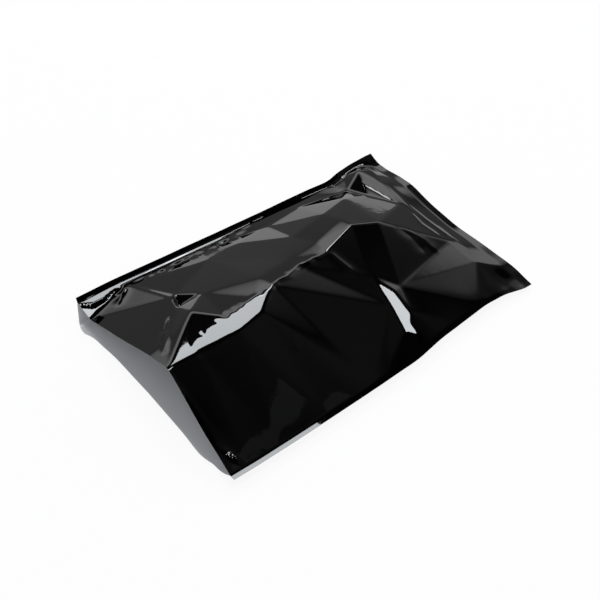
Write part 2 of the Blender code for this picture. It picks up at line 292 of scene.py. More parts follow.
# Fold points of the upper film, and the folds that run through them
FOLDS = {
    "lip_low": Fold(-171.0, 96.0, 14.0, 0.1),
    "lip_middle": Fold(-169.5, 35.0, 37.0, 0.1),
    "lip_shoulder": Fold(-168.0, 2.0, 50.0, 0.0),
    "apex": Fold(-167.5, -25.0, 58.0, 0.0),
    "crown_low_1": Fold(-137.0, -27.0, 57.6, 0.0),
    "crown_low_2": Fold(-97.0, -28.5, 57.6, 0.1),
    "crown_low_3": Fold(-70.0, -24.0, 57.4, 0.2),
    "crown_end": Fold(-44.0, -4.0, 57.0, 0.1),
    "crown_high_1": Fold(-144.0, -19.0, 57.5, 0.0),
    "crown_high_2": Fold(-118.0, -12.0, 57.4, 0.0),
    "crown_high_3": Fold(-97.0, -7.0, 57.3, 0.0),
    "crown_high_4": Fold(-63.0, -6.0, 57.2, 0.0),
    "ridge_1": Fold(-8.0, 4.0, 51.0, 0.0),
    "ridge_2": Fold(25.0, 7.0, 46.5, 0.0),
    "ridge_3": Fold(67.0, 20.5, 44.5, 0.0),
    "ridge_4": Fold(92.0, 11.0, 40.0, 0.1),
    "back_1": Fold(-46.0, 14.0, 53.0, 0.4),
    "back_2": Fold(-8.0, 20.0, 47.5, 0.5),
    "back_3": Fold(28.0, 24.0, 43.2, 0.5),
    "back_4": Fold(66.0, 34.0, 41.5, 0.4),
    "crease_middle": Fold(-115.0, 17.5, 54.6, 0.1),
    "pinch": Fold(-90.5, 36.5, 44.0, 0.2),
    "notch_rear": Fold(-105.0, 56.5, 35.5, 0.0),
    "star": Fold(-125.0, 106.0, 21.0, 0.0),
    "shelf_1": Fold(-51.0, 82.0, 24.5, 0.1),
    "shelf_2": Fold(-16.0, 86.0, 21.0, 0.2),
    "shelf_3": Fold(22.0, 92.0, 14.5, 0.1),
    "shelf_4": Fold(62.0, 94.0, 14.5, 0.1),
    "rear_pinch": Fold(108.0, 86.0, 13.0, 0.0),
    "leaf_tip": Fold(46.0, -31.5, 31.6, 0.0),
    "leaf_left": Fold(41.0, -61.3, 22.05, 0.15),
    "leaf_base": Fold(35.0, -89.0, 12.9, 0.1),
    "leaf_right_1": Fold(54.2, -54.7, 26.65, 0.0),
    "leaf_right_2": Fold(53.0, -77.0, 19.95, 0.0),
    "leaf_right_3": Fold(45.5, -84.5, 16.3, 0.0),
    "quad_low": Fold(62.3, -51.7, 24.4, 0.2),
    "end_1": Fold(155.0, 93.0, 13.5, 0.0),
    "end_2": Fold(147.0, 71.0, 16.5, 0.0),
    "end_3": Fold(140.0, 33.0, 18.5, 0.0),
    "end_4": Fold(146.0, -4.0, 13.8, 0.0),
    "end_5": Fold(147.0, -30.0, 12.2, 0.0),
    "end_6": Fold(148.0, -64.0, 10.6, 0.0),
    "notch_pit": Fold(-110.5, 43.5, 32.0, 0.0),
    "edge_top": Fold(-112.0, 53.0, 39.0, 0.0),
    "edge_notch": Fold(-116.5, 36.0, 44.5, 0.0),
    "dash_middle": Fold(-145.5, 3.5, 52.5, 0.0),
    "hem_1": Fold(-90.0, 103.0, 18.4, 0.0),
    "hem_2": Fold(-50.0, 101.5, 15.6, 0.0),
    "hem_3": Fold(-8.0, 99.5, 13.0, 0.0),
    "facet_1": Fold(141.0, 98.0, 16.4, 0.0),
    "facet_2": Fold(122.0, 61.0, 19.0, 0.0),
    "facet_3": Fold(115.0, 83.0, 14.7, 0.0),
    "break_1": Fold(20.0, 50.0, 34.5, 0.1),
    "break_2": Fold(62.0, 56.0, 33.6, 0.1),
    "break_3": Fold(96.0, 66.0, 27.0, 0.1),
}
FOLD_LINES = (
    ("lip_low", "lip_middle", "lip_shoulder", "apex"),
    ("apex", "crown_low_1", "crown_low_2", "crown_low_3", "crown_end"),
    ("apex", "crown_high_1", "crown_high_2", "crown_high_3", "crown_high_4", "crown_end"),
    ("crown_end", "ridge_1", "ridge_2", "ridge_3", "ridge_4"),
    ("crown_high_4", "back_1", "back_2", "back_3", "back_4", "ridge_4"),
    ("apex", "crease_middle", "pinch"),
    ("apex", "dash_middle", "edge_notch", "edge_top", "star"),
    ("star", "notch_rear", "pinch", "notch_pit", "notch_rear"),
    ("edge_notch", "pinch"),
    ("star", "shelf_1", "pinch"),
    ("star", "hem_1", "hem_2", "hem_3"),
    ("shelf_1", "shelf_2", "shelf_3", "shelf_4", "rear_pinch"),
    ("rear_pinch", "facet_3", "facet_2", "facet_1", "facet_3"),
    ("shelf_2", "break_1", "break_2", "break_3", "rear_pinch"),
    ("ridge_3", "leaf_tip", "leaf_left", "leaf_base"),
    ("leaf_tip", "leaf_right_1", "leaf_right_2", "leaf_right_3", "leaf_base"),
    ("leaf_tip", "quad_low", "ridge_4"),
    ("end_1", "end_2", "end_3", "end_4", "end_5", "end_6"),
)
# Fine folds: path, rise of the crest, and reach on the left and on the right of the path
CREASES = (
    Crease(((-122.0, 106.5), (-90.0, 107.5), (-58.0, 106.0)), 0.7, 1.8, 2.6),
    Crease(((-104.0, 102.5), (-74.0, 104.0), (-44.0, 105.5), (-14.0, 105.0)), 0.6, 1.6, 2.4),
    Crease(((-84.0, 108.5), (-54.0, 108.0), (-22.0, 107.0)), -0.5, 1.6, 1.8),
    Crease(((-64.0, 103.5), (-36.0, 101.5), (-4.0, 103.5), (12.0, 105.0)), 0.7, 1.6, 2.4),
    Crease(((-30.0, 106.0), (-5.0, 108.0), (24.0, 107.5)), 0.8, 2.0, 2.4),
    Crease(((-146.0, 104.0), (-134.0, 99.0), (-126.0, 105.0)), 0.9, 1.6, 2.4),
    Crease(((-161.0, -8.0), (-149.0, 5.0), (-139.0, 14.0)), 0.7, 1.3, 2.0),
    Crease(((-144.0, 15.0), (-134.0, 26.0), (-126.0, 32.0)), -0.7, 1.4, 1.6),
    Crease(((-156.0, 4.0), (-149.0, 12.0), (-143.0, 20.0)), 0.6, 1.2, 1.6),
    Crease(((-164.5, -101.5), (-160.0, -99.5)), 2.1, 3.0, 3.0),
    Crease(((-57.0, -50.0), (-62.0, -56.0), (-60.0, -64.0)), 0.25, 2.4, 2.8),
    Crease(((-125.0, 106.0), (-136.0, 97.0), (-148.0, 88.0)), 1.1, 2.6, 3.4),
    Crease(((27.0, 7.0), (30.0, -6.0), (35.0, -24.0)), 0.5, 2.0, 4.0),
    Crease(
        ((152.0, 70.0), (147.0, 36.0), (148.0, 5.0), (152.0, -25.0), (155.0, -52.0)),
        0.7,
        1.7,
        2.2,
    ),
    Crease(((132.0, 84.0), (136.0, 60.0), (140.0, 30.0)), 0.4, 1.4, 2.0),
    Crease(((141.0, 24.0), (137.0, 0.0), (142.0, -26.0)), 0.5, 1.6, 2.6),
    Crease(((112.0, -6.0), (122.0, -20.0), (126.0, -38.0)), 0.6, 3.0, 4.0),
    Crease(((104.0, 4.0), (112.0, -14.0), (112.0, -34.0)), -0.5, 3.0, 3.0),
)
# Near-flat ledge along the rear seam: place along the bag and width
REAR_LEDGE = (
    (-172.0, 3.0),
    (-162.0, 9.0),
    (-150.0, 9.0),
    (-138.0, 5.0),
    (-110.0, 4.8),
    (-20.0, 4.2),
    (10.0, 1.0),
    (20.0, 0.0),
    (106.0, 0.0),
    (114.0, 4.0),
    (130.0, 4.0),
    (137.0, 0.0),
    (172.0, 0.0),
)
# Jagged folds: reach on both sides, size of the jags across the bag and length along it
RAGGED = (
    Ragged(("crown_low_1", "crown_low_2", "crown_low_3", "crown_end"), 3.5, 0.45, 4.5),
    Ragged(
        ("crown_high_1", "crown_high_2", "crown_high_3", "crown_high_4", "crown_end"),
        5.0,
        1.8,
        2.6,
    ),
    Ragged(("leaf_tip", "leaf_right_1", "leaf_right_2", "leaf_right_3"), 4.0, 0.8, 2.0),
    Ragged(("crown_end", "ridge_1", "ridge_2"), 5.0, 1.5, 3.0),
    Ragged(("star", "hem_1", "hem_2", "hem_3"), 6.0, 2.0, 3.0),
)

# Finishes: base colour, roughness, metal, index of refraction and strength of the waves
BLACK = Finish("black_film", (0.0003, 0.0003, 0.0004, 1.0), 0.03, 0.0, 1.5, 0.02)
SILVER = Finish("silver_film", (0.68, 0.69, 0.71, 1.0), 0.42, 0.3, 1.5, 0.01)
# Lamps: direction, distance, width, height and brightness
SOFTBOXES = (
    Softbox("softbox_main", (0.345, 0.565, 0.745), 3.0, 0.76, 0.58, 10.5),
    Softbox("softbox_top", (0.105, -0.02, 0.99), 3.0, 0.58, 0.76, 15.5),
    Softbox("softbox_hem", (0.50, 0.575, 0.648), 3.0, 0.46, 0.46, 10.0),
    Softbox("panel_wide", (0.335, -0.475, 0.813), 3.01, 0.22, 0.10, 0.1),
    Softbox("panel_tall", (0.335, -0.535, 0.775), 3.02, 0.075, 0.10, 0.14),
)
LAMP_TINT = (0.94, 0.975, 1.0)

# Reflected backdrop: its full level, then sine of the height over the horizon and share of the level
BACKDROP_LEVEL = 2.0
BACKDROP_BY_HEIGHT = (
    (0.0, 0.135),
    (0.32, 0.14),
    (0.43, 0.9),
    (0.53, 1.0),
    (0.58, 0.01),
    (1.0, 0.002),
)
# The same, by depth behind the bag, from 0 in front to 1 behind
BACKDROP_BY_DEPTH = ((0.50, 0.0), (0.80, 1.0))
# Dim glows: direction, and share of the level by nearness to it, from 0, across, to 1, straight there
GLOWS = (
    ((0.56, -0.24, 0.79), ((0.90, 0.003), (0.94, 0.012), (0.98, 0.045), (1.0, 0.055))),
    ((0.80, 0.25, 0.55), ((0.96, 0.0), (0.985, 0.08), (0.995, 0.28), (1.0, 0.32))),
)

# Camera: point that it faces, way back from there and distance, in the bag's millimetres, and lens
CAMERA_TARGET = (-3.66, 9.82, 0.0)
CAMERA_BACK = (-0.4257, -0.5295, 0.7337)
CAMERA_DISTANCE = 1102.0
CAMERA_LENS = 72.48


def through(stations: Sequence[Sequence[float]], column: int, places: np.ndarray) -> np.ndarray:
    """Read one column of the stations along a smooth curve.

    Args:
        stations: Rows whose first value is the place.
        column: Column to read.
        places: Places to read it at.

    Returns:
        The column's values at those places.
    """
    table = np.array(stations, dtype=float)
    at, value = table[:, 0], table[:, column]
    slope = np.gradient(value, at)
    cell = np.clip(np.searchsorted(at, places) - 1, 0, len(at) - 2)
    width = at[cell + 1] - at[cell]
    share = np.clip((places - at[cell]) / width, 0.0, 1.0)
    first = value[cell] + slope[cell] * width * share * (1.0 - share) ** 2
    second = value[cell + 1] - slope[cell + 1] * width * share**2 * (1.0 - share)
    return first + (second - first) * ease(share)


def grey_ramp(
    tree: bpy.types.NodeTree,
    source: bpy.types.NodeSocket,
    stops: Sequence[tuple[float, float]],
) -> bpy.types.NodeSocket:
    """Turn a value into levels of grey.

    Args:
        tree: Node tree to work in.
        source: Socket that gives the value.
        stops: Place and level of each stop.

    Returns:
        Socket that gives the grey.
    """
    node = tree.nodes.new("ShaderNodeValToRGB")
    elements = node.color_ramp.elements
    while len(elements) < len(stops):
        elements.new(elements[-1].position)
    for element, (at, level) in zip(elements, stops):
        element.position = at
        element.color = (level, level, level, 1.0)
    tree.links.new(source, node.inputs["Fac"])
    return node.outputs["Color"]


def mixed(
    tree: bpy.types.NodeTree,
    blend: str,
    first: bpy.types.NodeSocket,
    second: bpy.types.NodeSocket,
) -> bpy.types.NodeSocket:
    """Mix two colours in full.

    Args:
        tree: Node tree to work in.
        blend: Blender's name of the way to mix.
        first: Socket of one colour.
        second: Socket of the other colour.

    Returns:
        Socket that gives the mixed colour.
    """
    node = tree.nodes.new("ShaderNodeMix")
    node.data_type = "RGBA"
    node.blend_type = blend
    node.inputs["Factor"].default_value = 1.0
    tree.links.new(first, node.inputs["A"])
    tree.links.new(second, node.inputs["B"])
    return node.outputs["Result"]


def plain_light(tree: bpy.types.NodeTree, strength: float) -> bpy.types.Node:
    """Make a white background.

    Args:
        tree: Node tree of the world.
        strength: Its strength, where 1 is white.

    Returns:
        The background's node.
    """
    node = tree.nodes.new("ShaderNodeBackground")
    node.inputs["Color"].default_value = (1.0, 1.0, 1.0, 1.0)
    node.inputs["Strength"].default_value = strength
    return node


def ease(share: np.ndarray) -> np.ndarray:
    """Smooth step of shares from 0 to 1."""
    return share * share * (3.0 - 2.0 * share)


def blurred(values: np.ndarray, along: float, across: float) -> np.ndarray:
    """Round a map by a bell curve.

    Args:
        values: The map.
        along: Spread along the first axis, in cells.
        across: Spread along the second axis, in cells.

    Returns:
        The rounded map.
    """
    for axis, spread in ((0, along), (1, across)):
        reach = max(1, math.ceil(BELL_REACH * spread))
        bell = np.exp(-0.5 * (np.arange(-reach, reach + 1) / spread) ** 2)
        bell /= bell.sum()
        pad = [(reach, reach) if axis == each else (0, 0) for each in (0, 1)]
        wide = np.pad(values, pad, mode="reflect", reflect_type="odd")
        count = np.arange(values.shape[axis])
        values = sum(part * np.take(wide, count + k, axis=axis) for k, part in enumerate(bell))
    return values


@dataclass(frozen=True)
class SideSeal:
    """A fused strip along one side of the bag.

    Args:
        stations: The seal's stations along the bag.
        side: -1 for the front, 1 for the rear.
        width: Width of the strip.
    """

    stations: Sequence[Station]
    side: float
    width: float

    def outer(self, x: np.ndarray) -> np.ndarray:
        """Points of the outer edge at places along the bag."""
        across = self.side * through(self.stations, 1, x)
        return np.stack([x, across, through(self.stations, 2, x)], axis=-1)

    def step(self, x: np.ndarray) -> np.ndarray:
        """Steps from the seam to the outer edge.

        Args:
            x: Places along the bag.

        Returns:
            One vector for each place.
        """
        tilt = np.radians(through(self.stations, 3, x))
        parts = [np.zeros_like(tilt), self.side * np.cos(tilt), np.sin(tilt)]
        return self.width * np.stack(parts, axis=-1)

    def seam(self, x: np.ndarray) -> np.ndarray:
        """Points of the seam, the strip's inner edge, at places along the bag."""
        return self.outer(x) - self.step(x)


@dataclass
class Plan:
    """Plan places of one film between the seams.

    Args:
        sizes: Sizes of the bag.
        lip: How far the lip draws back.
    """

    sizes: BagSizes
    lip: Sequence[Sequence[float]]

    def __post_init__(self) -> None:
        """Lay out the places."""
        sizes = self.sizes
        self.front = SideSeal(FRONT_EDGE, -1.0, sizes.front_seal)
        self.rear = SideSeal(REAR_EDGE, 1.0, sizes.rear_seal)
        share = np.linspace(0.0, 1.0, sizes.cells_along + 1)[:, None]
        place = np.linspace(-1.0, 1.0, sizes.cells_across + 1)[None, :]
        mouth = through(self.lip, 1, place * sizes.half_width) - sizes.half_length
        bottom = sizes.half_length - sizes.bottom_step()[0]
        self.x = mouth + share * (bottom - mouth)
        low = self.front.seam(self.x)[..., 1]
        high = self.rear.seam(self.x)[..., 1]
        self.y = low + (place + 1.0) / 2.0 * (high - low)

    def seam_heights(self) -> tuple[np.ndarray, np.ndarray, np.ndarray]:
        """Heights of the seams that bound the film.

        Returns:
            Heights along the front, the rear and the bottom end.
        """
        front = self.front.seam(self.x[:, 0])[:, 2]
        rear = self.rear.seam(self.x[:, -1])[:, 2]
        bottom = through(BOTTOM_EDGE, 1, self.y[-1]) - self.sizes.bottom_step()[2]
        share = np.linspace(0.0, 1.0, len(bottom))
        ends = (1.0 - share) * (front[-1] - bottom[0]) + share * (rear[-1] - bottom[-1])
        return front, rear, bottom + ends

    def seam_distances(self) -> tuple[np.ndarray, np.ndarray, np.ndarray]:
        """Distances of each place from the front, the rear and the bottom seam."""
        return self.y - self.y[:, :1], self.y[:, -1:] - self.y, self.x[-1:, :] - self.x


@dataclass
class FacetNet:
    """The upper film as flat facets between its folds.

    Args:
        plan: Plan of the upper film.
        rim_softness: Softness along the seams.
        rim_along: Spans between the corners of one side seam.
        rim_across: Spans between the corners of the bottom seam.
    """

    plan: Plan
    rim_softness: float = 0.9
    rim_along: int = 20
    rim_across: int = 26

    def __post_init__(self) -> None:
        """Join the fold points and the seams."""
        names = list(FOLDS)
        lines = [pair for line in FOLD_LINES for pair in zip(line, line[1:])]
        edges = [(names.index(a), names.index(b)) for a, b in lines]
        corners = [np.array(FOLDS[name]) for name in names] + self._rim()
        flat = [Vector((float(c[0]), float(c[1]))) for c in corners]
        _, _, faces, origin, _, _ = delaunay_2d_cdt(flat, edges, [], 0, JOIN_DISTANCE)
        self.table = np.array([corners[source[0]] for source in origin])
        self.faces = np.array([list(face) for face in faces])

    def _rim(self) -> list[np.ndarray]:
        """Corners along the seams.

        Returns:
            Places, heights and softness of the corners.
        """
        plan = self.plan
        front, rear, bottom = plan.seam_heights()
        along, across = plan.sizes.cells_along, plan.sizes.cells_across
        rows = range(0, along + 1, along // self.rim_along)
        columns = range(across // self.rim_across, across, across // self.rim_across)
        rim = [(plan.x[i, 0], plan.y[i, 0], front[i]) for i in rows]
        rim += [(plan.x[i, -1], plan.y[i, -1], rear[i]) for i in rows]
        rim += [(plan.x[-1, j], plan.y[-1, j], bottom[j]) for j in columns]
        return [np.array([*point, self.rim_softness]) for point in rim]

    def read(self, x: np.ndarray, y: np.ndarray) -> tuple[np.ndarray, np.ndarray]:
        """Height and softness of the facets.

        Args:
            x: Places along the bag.
            y: Places across the bag.

        Returns:
            Heights and softness at those places.
        """
        best = np.full(x.shape, -np.inf)
        found = np.zeros((2, *x.shape))
        for face in self.faces:
            a, b, c = self.table[face]
            area = (b[0] - a[0]) * (c[1] - a[1]) - (c[0] - a[0]) * (b[1] - a[1])
            if abs(area) < TINY_AREA:
                continue
            at_b = ((x - a[0]) * (c[1] - a[1]) - (c[0] - a[0]) * (y - a[1])) / area
            at_c = ((b[0] - a[0]) * (y - a[1]) - (x - a[0]) * (b[1] - a[1])) / area
            inside = np.minimum(np.minimum(at_b, at_c), 1.0 - at_b - at_c)
            better = inside > best
            best = np.where(better, inside, best)
            for slot in (0, 1):
                k = slot + 2
                value = a[k] + at_b * (b[k] - a[k]) + at_c * (c[k] - a[k])
                found[slot] = np.where(better, value, found[slot])
        return found[0], np.clip(found[1], 0.0, 1.0)


@dataclass
class Pouch:
    """The bag of two films, each worked out as a grid of points.

    Args:
        sizes: Sizes that the films share.
        front_rise: Reach of the lower film's rise to the front seam.
        bottom_rise: Reach of the lower film's rise to the bottom seam.
        seam_blend: Distance over which the upper film comes to the height of a seam.
        film_gap: Least gap between the films, away from the seams.
        sharp_radius: Spread of the rounding of a sharp fold.
        soft_radius: Spread of the rounding of a soft fold.
        change_radius: Spread of the change between sharp and soft folds.
        crease_end: Share of a crease's length in which each of its ends dies away.
        ledge_blend: Width in which the rear ledge runs into the film.
        ledge_slope: Fall of the rear ledge from the seam inwards.
        lower_step: Cells of the plan in one cell of the lower film.
        jag_seed: Seed of the jags.
    """

    sizes: BagSizes = BagSizes()
    front_rise: float = 22.0
    bottom_rise: float = 22.0
    seam_blend: float = 12.0
    film_gap: float = 0.6
    sharp_radius: float = 1.3
    soft_radius: float = 9.0
    change_radius: float = 3.0
    crease_end: float = 0.25
    ledge_blend: float = 1.5
    ledge_slope: float = 0.04
    lower_step: int = 2
    jag_seed: int = 7

    def __post_init__(self) -> None:
        """Lay out the plans and start the random draws."""
        self.upper_plan = Plan(self.sizes, UPPER_LIP)
        self.lower_plan = Plan(self.sizes, LOWER_LIP)
        self.noise = np.random.default_rng(self.jag_seed)

    def build(self, finishes: dict[Side, bpy.types.Material]) -> list[bpy.types.Object]:
        """Make and dress both films.

        Args:
            finishes: Material of each face of the film.

        Returns:
            The upper film and the lower film.
        """
        upper = FilmSheet("upper_film", self.upper(), True, self.sizes.film)
        lower = FilmSheet("lower_film", self.lower(), False, self.sizes.film)
        return [upper.build(finishes), lower.build(finishes)]

    def lower(self) -> np.ndarray:
        """The lower film's inner face, on a coarser grid.

        Returns:
            Grid of points, seals included.
        """
        plan = self.lower_plan
        grid = self._with_seals(plan, self._lower_height(plan))
        along, first, step = self.sizes.cells_along, self.sizes.strip_cells, self.lower_step
        last = first + self.sizes.cells_across
        rows = [*range(0, along, step), *range(along, len(grid))]
        columns = [*range(first), *range(first, last, step), *range(last, grid.shape[1])]
        return grid[np.ix_(rows, columns)]

    def upper(self) -> np.ndarray:
        """The upper film's inner face.

        Returns:
            Grid of points, seals included.
        """
        plan = self.upper_plan
        height, softness = FacetNet(plan).read(plan.x, plan.y + self._jags(plan))
        height = self._rounded(height, softness)
        for crease in CREASES:
            height = height + self._crease(plan, crease)
        seams = plan.seam_heights()
        front, rear, bottom = plan.seam_distances()
        height = height + (seams[0] - height[:, 0])[:, None] * self._fade(front)
        height = height + (seams[1] - height[:, -1])[:, None] * self._fade(rear)
        height = height + (seams[2] - height[-1, :])[None, :] * self._fade(bottom)
        width = np.interp(plan.x, *np.transpose(REAR_LEDGE))
        ledge = ease(np.clip((width + self.ledge_blend - rear) / self.ledge_blend, 0.0, 1.0))
        level = seams[1][:, None] - self.ledge_slope * rear
        height = height + (level - height) * ledge * np.clip(width, 0.0, 1.0)
        nearest = np.minimum(np.minimum(front, rear), bottom)
        gap = self.film_gap * np.clip(nearest / self.seam_blend, 0.0, 1.0)
        height = np.maximum(height, self._lower_height(plan) + gap)
        return self._with_seals(plan, height)

    def _lower_height(self, plan: Plan) -> np.ndarray:
        """Height of the lower film: flat on the table, rising to the seams.

        Args:
            plan: Plan to read it on.

        Returns:
            Map of heights.
        """
        front, rear, bottom = plan.seam_heights()
        lift = np.zeros(plan.x.shape)
        seams = (front[:, None], rear[:, None], bottom[None, :])
        reaches = (self.front_rise, through(REAR_RISE, 1, plan.x), self.bottom_rise)
        for seam, distance, reach in zip(seams, plan.seam_distances(), reaches):
            rise = np.clip(1.0 - distance / reach, 0.0, 1.0) ** 2
            lift = np.maximum(lift, (seam - self.sizes.film) * rise)
        return self.sizes.film + lift

    def _fade(self, distance: np.ndarray) -> np.ndarray:
        """Share of a seam's height at a distance from it: 1 there, 0 from the blend's reach on."""
        return ease(np.clip(1.0 - distance / self.seam_blend, 0.0, 1.0))

    def _rounded(self, height: np.ndarray, softness: np.ndarray) -> np.ndarray:
        """Round the folds, sharp or soft by place.

        Args:
            height: Heights of the facets.
            softness: Softness of the folds.

        Returns:
            Rounded heights.
        """
        along, across = self.sizes.cell()
        sharp = blurred(height, self.sharp_radius / along, self.sharp_radius / across)
        soft = blurred(height, self.soft_radius / along, self.soft_radius / across)
        mask = blurred(softness, self.change_radius / along, self.change_radius / across)
        return sharp + (soft - sharp) * mask

    def _jags(self, plan: Plan) -> np.ndarray:
        """Shift across the bag that makes the ragged folds jagged.

        Args:
            plan: Plan of the upper film.

        Returns:
            Map of shifts.
        """
        along, _ = self.sizes.cell()
        shift = np.zeros(plan.x.shape)
        for ragged in RAGGED:
            path = np.array([FOLDS[name][:2] for name in ragged.line])
            away = np.abs(plan.y - np.interp(plan.x, path[:, 0], path[:, 1]))
            past = np.maximum(path[0, 0] - plan.x, plan.x - path[-1, 0])
            away = np.hypot(away, np.maximum(past, 0.0))
            jag = self.noise.standard_normal((len(plan.x), 1))
            jag = blurred(jag, ragged.spread / along, NO_SPREAD)
            jag = ragged.throw * jag / jag.std()
            shift += jag * ease(np.clip(1.0 - away / ragged.reach, 0.0, 1.0))
        return shift

    def _crease(self, plan: Plan, crease: Crease) -> np.ndarray:
        """Height that one crease adds.

        Args:
            plan: Plan of the upper film.
            crease: The crease.

        Returns:
            Map of heights.
        """
        points = np.array(crease.path, dtype=float)
        lengths = np.linalg.norm(np.diff(points, axis=0), axis=1)
        total = lengths.sum()
        best = np.full(plan.x.shape, np.inf)
        signed = np.zeros(plan.x.shape)
        place = np.zeros(plan.x.shape)
        start = 0.0
        for a, b, length in zip(points, points[1:], lengths):
            run = (b - a) / length
            dx, dy = plan.x - a[0], plan.y - a[1]
            along = np.clip(dx * run[0] + dy * run[1], 0.0, length)
            away = np.hypot(dx - along * run[0], dy - along * run[1])
            side = np.sign(run[0] * dy - run[1] * dx)
            better = away < best
            best = np.where(better, away, best)
            signed = np.where(better, side, signed)
            place = np.where(better, (start + along) / total, place)
            start += length
        reach = np.where(signed >= 0.0, crease.near, crease.far)
        profile = np.exp(-best / reach)
        taper = np.clip(np.minimum(place, 1.0 - place) / self.crease_end, 0.0, 1.0)
        return crease.rise * profile * ease(taper)

    def _with_seals(self, plan: Plan, height: np.ndarray) -> np.ndarray:
        """Add the fused strips to a film.

        Args:
            plan: Plan of the film.
            height: Heights of the film.

        Returns:
            Grid of points of the film and its strips.
        """
        height = height.copy()
        height[:, 0], height[:, -1], height[-1, :] = plan.seam_heights()
        grid = np.stack([plan.x, plan.y, height], axis=-1)
        front = plan.front.step(grid[:, 0, 0])[:, None]
        rear = plan.rear.step(grid[:, -1, 0])[:, None]
        out = np.arange(1, self.sizes.strip_cells + 1) / self.sizes.strip_cells
        near = grid[:, :1] + front * out[::-1][None, :, None]
        far = grid[:, -1:] + rear * out[None, :, None]
        wide = np.concatenate([near, grid, far], axis=1)
        end = wide[-1:] + out[:, None, None] * self.sizes.bottom_step()
        return np.concatenate([wide, end], axis=0)


@dataclass
class FilmSheet:
    """One film of the bag as a thin closed shell.

    Args:
        name: Name of the piece.
        inner: Grid of points of the inner face.
        upward: Whether the outside faces up.
        thickness: Thickness of the film.
        sharp_angle: Angle from which an edge between two faces looks sharp.
    """

    name: str
    inner: np.ndarray
    upward: bool
    thickness: float
    sharp_angle: float = math.radians(60.0)

    def build(self, finishes: dict[Side, bpy.types.Material]) -> bpy.types.Object:
        """Make the piece.

        Args:
            finishes: Material of each face.

        Returns:
            The new object.
        """
        outward = self.thickness if self.upward else -self.thickness
        outer = self.inner + outward * self._normals(self.inner)
        rows, columns = self.inner.shape[:2]
        count = rows * columns
        index = np.arange(count).reshape(rows, columns)
        top, bottom = (index, index + count) if self.upward else (index + count, index)
        sheets = [self._quads(top), self._quads(bottom)[:, ::-1]]
        ring = np.concatenate([top[0, :-1], top[:-1, -1], top[-1, :0:-1], top[:0:-1, 0]])
        low = np.concatenate([bottom[0, :-1], bottom[:-1, -1], bottom[-1, :0:-1], bottom[:0:-1, 0]])
        side = np.stack([ring, np.roll(ring, -1), np.roll(low, -1), low], axis=1)
        faces = np.concatenate([*sheets, side])
        points = np.concatenate([outer.reshape(-1, 3), self.inner.reshape(-1, 3)]) * MILLIMETRE
        mesh = bpy.data.meshes.new(self.name)
        mesh.from_pydata(points.tolist(), [], faces.tolist())
        sides = (Side.OUTSIDE, Side.INSIDE) if self.upward else (Side.INSIDE, Side.OUTSIDE)
        for each in Side:
            mesh.materials.append(finishes[each])
        slots = [np.full(len(sheets[k]), sides[k].value) for k in (0, 1)]
        slots.append(np.full(len(side), Side.OUTSIDE.value))
        mesh.polygons.foreach_set("material_index", np.concatenate(slots).astype(np.int32))
        mesh.shade_smooth()
        mesh.set_sharp_from_angle(angle=self.sharp_angle)
        mesh.update()
        piece = bpy.data.objects.new(self.name, mesh)
        bpy.context.scene.collection.objects.link(piece)
        return piece

    @staticmethod
    def _quads(index: np.ndarray) -> np.ndarray:
        """Faces of a grid of vertex numbers, facing up, as four numbers each."""
        corners = (index[:-1, :-1], index[1:, :-1], index[1:, 1:], index[:-1, 1:])
        return np.stack([corner.ravel() for corner in corners], axis=1)

    @staticmethod
    def _normals(grid: np.ndarray) -> np.ndarray:
        """Unit normals of a grid of points, facing up."""
        normal = np.cross(np.gradient(grid, axis=0), np.gradient(grid, axis=1))
        return normal / np.linalg.norm(normal, axis=-1, keepdims=True)


@dataclass
class FilmMaterials:
    """Materials of the film, which share one group of surface waves.

    Args:
        wave_scale: Scale of the waves' noise.
        wave_detail: Detail of the waves' noise.
        wave_height: Height of the waves, in metres.
    """

    wave_scale: float = 90.0
    wave_detail: float = 2.0
    wave_height: float = 0.001

    def __post_init__(self) -> None:
        """Make the shared group."""
        self.waves = self._wave_group()

    def _wave_group(self) -> bpy.types.NodeTree:
        """Fine waves of a drawn film, as a normal that varies over the surface.

        Returns:
            The node group.
        """
        group = bpy.data.node_groups.new("film_waves", "ShaderNodeTree")
        group.interface.new_socket("Strength", in_out="INPUT", socket_type="NodeSocketFloat")
        group.interface.new_socket("Normal", in_out="OUTPUT", socket_type="NodeSocketVector")
        nodes, links = group.nodes, group.links
        inputs = nodes.new("NodeGroupInput")
        outputs = nodes.new("NodeGroupOutput")
        place = nodes.new("ShaderNodeTexCoord")
        noise = nodes.new("ShaderNodeTexNoise")
        noise.inputs["Scale"].default_value = self.wave_scale
        noise.inputs["Detail"].default_value = self.wave_detail
        bump = nodes.new("ShaderNodeBump")
        bump.inputs["Distance"].default_value = self.wave_height
        links.new(place.outputs["Object"], noise.inputs["Vector"])
        links.new(noise.outputs["Fac"], bump.inputs["Height"])
        links.new(inputs.outputs["Strength"], bump.inputs["Strength"])
        links.new(bump.outputs["Normal"], outputs.inputs["Normal"])
        return group

    def make(self, finish: Finish) -> bpy.types.Material:
        """One face's material.

        Args:
            finish: Its look.

        Returns:
            The material.
        """
        material = bpy.data.materials.new(finish.name)
        material.use_nodes = True
        tree = material.node_tree
        shader = tree.nodes["Principled BSDF"]
        shader.inputs["Base Color"].default_value = finish.colour
        shader.inputs["Roughness"].default_value = finish.roughness
        shader.inputs["Metallic"].default_value = finish.metallic
        shader.inputs["IOR"].default_value = finish.ior
        waves = tree.nodes.new("ShaderNodeGroup")
        waves.node_tree = self.waves
        waves.inputs["Strength"].default_value = finish.wave
        tree.links.new(waves.outputs["Normal"], shader.inputs["Normal"])
        material.diffuse_color = finish.colour
        return material


